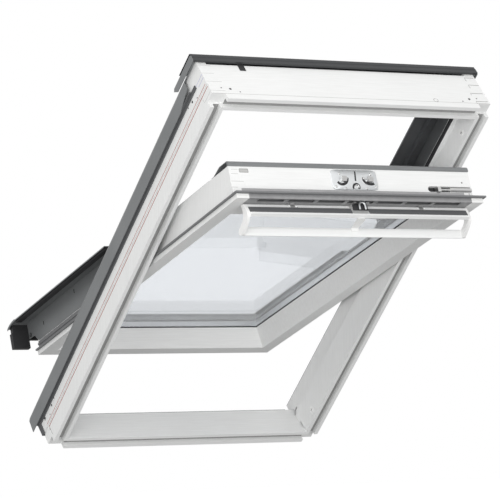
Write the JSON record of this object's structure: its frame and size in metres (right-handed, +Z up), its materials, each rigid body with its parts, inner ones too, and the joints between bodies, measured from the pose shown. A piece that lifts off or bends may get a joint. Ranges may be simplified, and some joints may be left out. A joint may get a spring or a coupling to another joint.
{
  "type": "roof skylight",
  "caption": "Centre-pivot roof window: white timber frame and opened sash with double glazing, grey aluminium covers, ventilation flap with a full-width handle bar.",
  "frame": {"origin": "middle of the frame's lower end face, where the frame rests against the batten below it", "axes": "+Z up, +X along the width to the right as seen from the room, -Y towards the room; the frame leans back at 45 degrees, its outer side facing +Y and up"},
  "size_m": [0.803, 1.1085, 0.9409],
  "materials": {
    "white_timber": "white paint",
    "black_rubber": "matt",
    "grey_aluminium": "grey lacquered aluminium",
    "dark_hood": "dark grey lacquered aluminium",
    "zinc_steel": "zinc plated",
    "white_metal": "white lacquered aluminium",
    "bare_aluminium": "satin",
    "window_glass": "clear",
    "grey_foam": "matt foam strip",
    "white_plastic": "white moulded"
  },
  "bodies": {
    "frame": {"frame_left_member": "white_timber", "frame_right_member": "white_timber", "frame_top_member": "white_timber", "frame_bottom_member": "white_timber", "stop_left": "white_timber", "stop_right": "white_timber", "stop_top": "white_timber", "stop_seal": "black_rubber", "side_cladding_left": "grey_aluminium", "side_cladding_right": "grey_aluminium", "side_seal_left": "grey_foam", "side_seal_right": "grey_foam", "upper_cover_left": "grey_aluminium", "upper_cover_right": "grey_aluminium", "top_hood": "dark_hood", "hood_tray": "zinc_steel", "hood_ends": "grey_aluminium", "bottom_cladding": "grey_aluminium", "hinge_frame_left": "zinc_steel", "hinge_frame_right": "zinc_steel", "frame_screws": "zinc_steel", "lock_striker": "zinc_steel", "bolt_bushes": "white_plastic"},
    "sash": {"sash_left_stile": "white_timber", "sash_right_stile": "white_timber", "sash_top_rail": "white_timber", "sash_bottom_rail": "white_timber", "inner_pane": "window_glass", "outer_pane": "window_glass", "pane_spacer": "bare_aluminium", "pane_seal": "black_rubber", "glazing_gasket": "black_rubber", "glazing_cap_left": "grey_aluminium", "glazing_cap_right": "grey_aluminium", "glazing_cap_bottom": "grey_aluminium", "sash_top_cladding": "grey_aluminium", "lower_cover_left": "grey_aluminium", "lower_cover_right": "grey_aluminium", "lower_cover_seals": "black_rubber", "bottom_cover": "grey_aluminium", "bottom_end_seal": "black_rubber", "sash_fin": "black_rubber", "hinge_sash_left": "zinc_steel", "hinge_sash_right": "zinc_steel", "sash_screws": "zinc_steel", "vent_profile": "bare_aluminium", "vent_filter": "grey_foam", "vent_end_blocks": "white_plastic", "flap_brackets": "zinc_steel", "lock_case": "zinc_steel", "lock_clip": "zinc_steel", "bolt_sleeve": "zinc_steel"},
    "flap": {"vent_flap": "white_metal", "flap_seal": "grey_foam", "handle_bar": "white_metal", "end_cap_left": "white_plastic", "end_cap_right": "white_plastic", "handle_bracket": "white_plastic"},
    "latch": {"lock_latch": "zinc_steel"},
    "bolt": {"barrel_bolt": "zinc_steel"}
  },
  "joints": [
    {"name": "sash_pivot", "type": "hinge", "parent": "frame", "child": "sash", "pos_m": [0, -0.35391, 0.47907], "axis": [1, 0, 0], "range_deg": [-25, 137]},
    {"name": "vent_flap_hinge", "type": "hinge", "parent": "sash", "child": "flap", "pos_m": [0, -0.85667, 0.5567], "axis": [1, 0, 0], "range_deg": [-64, 6]},
    {"name": "latch_turn", "type": "hinge", "parent": "sash", "child": "latch", "pos_m": [0, -0.82752, 0.61633], "axis": [1, 0, 0], "range_deg": [-16, 2]},
    {"name": "bolt_slide", "type": "slide", "parent": "sash", "child": "bolt", "axis": [1, 0, 0], "range_m": [0, 0.022]}
  ],
  "couplings": [
    {"joint": "latch_turn", "follows": "vent_flap_hinge", "ratio": 0.25}
  ]
}
